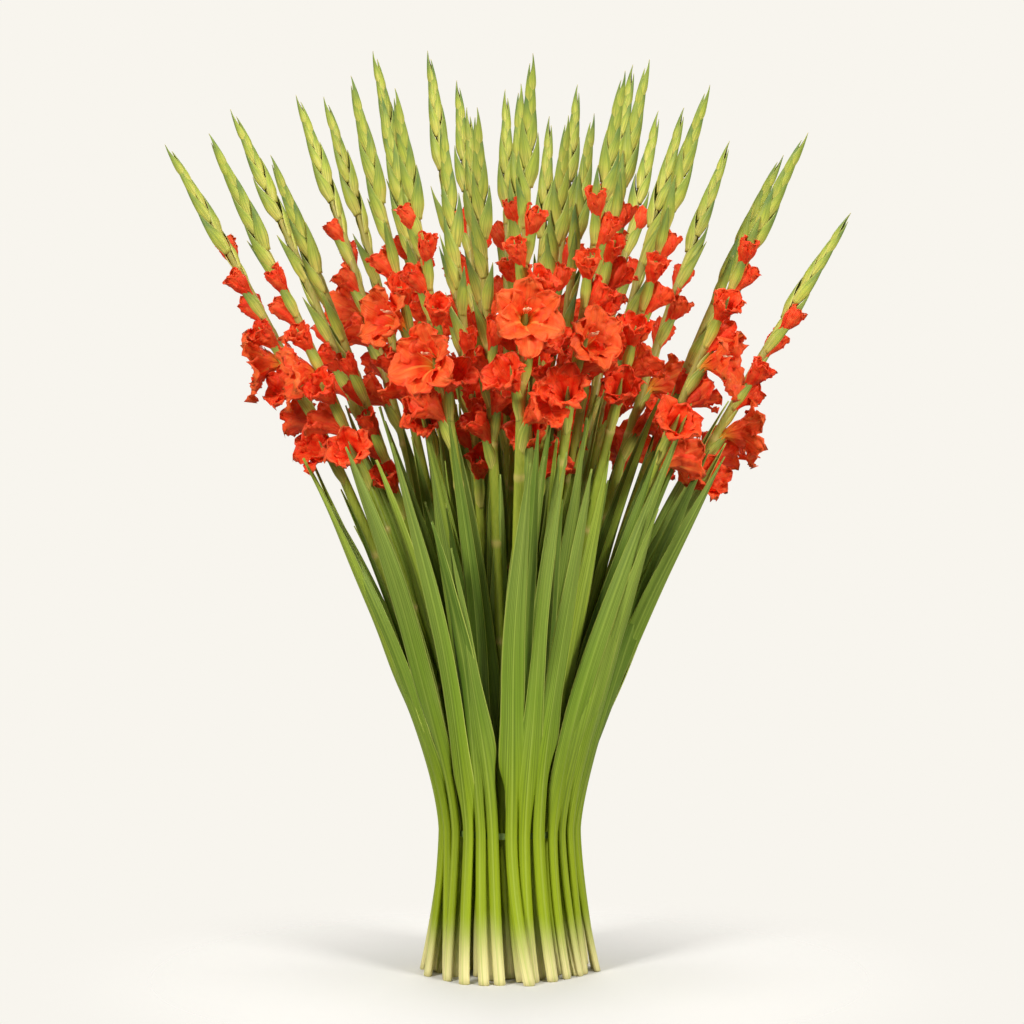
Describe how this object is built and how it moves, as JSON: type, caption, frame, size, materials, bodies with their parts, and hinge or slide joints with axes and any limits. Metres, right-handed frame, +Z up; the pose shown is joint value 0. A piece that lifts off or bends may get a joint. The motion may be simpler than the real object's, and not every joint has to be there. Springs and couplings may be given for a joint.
{
  "type": "bunch of gladioli",
  "caption": "Tall banded bunch of cut red gladioli with sword leaves, standing upright on its splayed stem ends.",
  "frame": {"origin": "under the middle of the bunch's outline, on the surface that it stands on", "axes": "+Z up along the bunch, +X to the right and +Y away as it is seen from the front"},
  "size_m": [0.792, 0.4954, 1.085],
  "materials": {
    "stalk": "fresh green stem and bud bracts, satin, paler at the cut ends",
    "petal": "soft vermilion petals with fine veins and a slight sheen",
    "leaf": "matte grey-green blade with fine parallel veins",
    "band": "plain green elastic band"
  },
  "bodies": {
    "root": {"band": "band", "floret_01": "petal", "floret_02": "petal", "floret_05": "petal", "floret_07": "petal", "floret_10": "petal", "floret_13": "petal", "floret_18": "petal", "floret_21": "petal", "floret_23": "petal", "floret_26": "petal", "floret_29": "petal", "floret_31": "petal", "floret_32": "petal", "gladiolus_01": "stalk", "gladiolus_02": "stalk", "gladiolus_03": "stalk", "gladiolus_04": "stalk", "gladiolus_05": "stalk", "gladiolus_06": "stalk", "gladiolus_07": "stalk", "gladiolus_08": "stalk", "gladiolus_09": "stalk", "gladiolus_10": "stalk", "gladiolus_11": "stalk", "gladiolus_12": "stalk", "gladiolus_13": "stalk", "gladiolus_14": "stalk", "gladiolus_15": "stalk", "gladiolus_16": "stalk", "gladiolus_17": "stalk", "gladiolus_18": "stalk", "gladiolus_19": "stalk", "gladiolus_20": "stalk", "gladiolus_21": "stalk", "gladiolus_22": "stalk", "gladiolus_23": "stalk", "gladiolus_24": "stalk", "gladiolus_25": "stalk", "gladiolus_26": "stalk", "gladiolus_27": "stalk", "gladiolus_28": "stalk", "gladiolus_29": "stalk", "gladiolus_30": "stalk", "gladiolus_31": "stalk", "gladiolus_32": "stalk", "leaf_01": "leaf", "leaf_02": "leaf", "leaf_03": "leaf", "leaf_04": "leaf", "leaf_05": "leaf", "leaf_06": "leaf", "leaf_07": "leaf", "leaf_08": "leaf", "leaf_09": "leaf", "leaf_10": "leaf", "leaf_11": "leaf", "leaf_12": "leaf", "leaf_13": "leaf", "leaf_14": "leaf"}
  },
  "joints": []
}
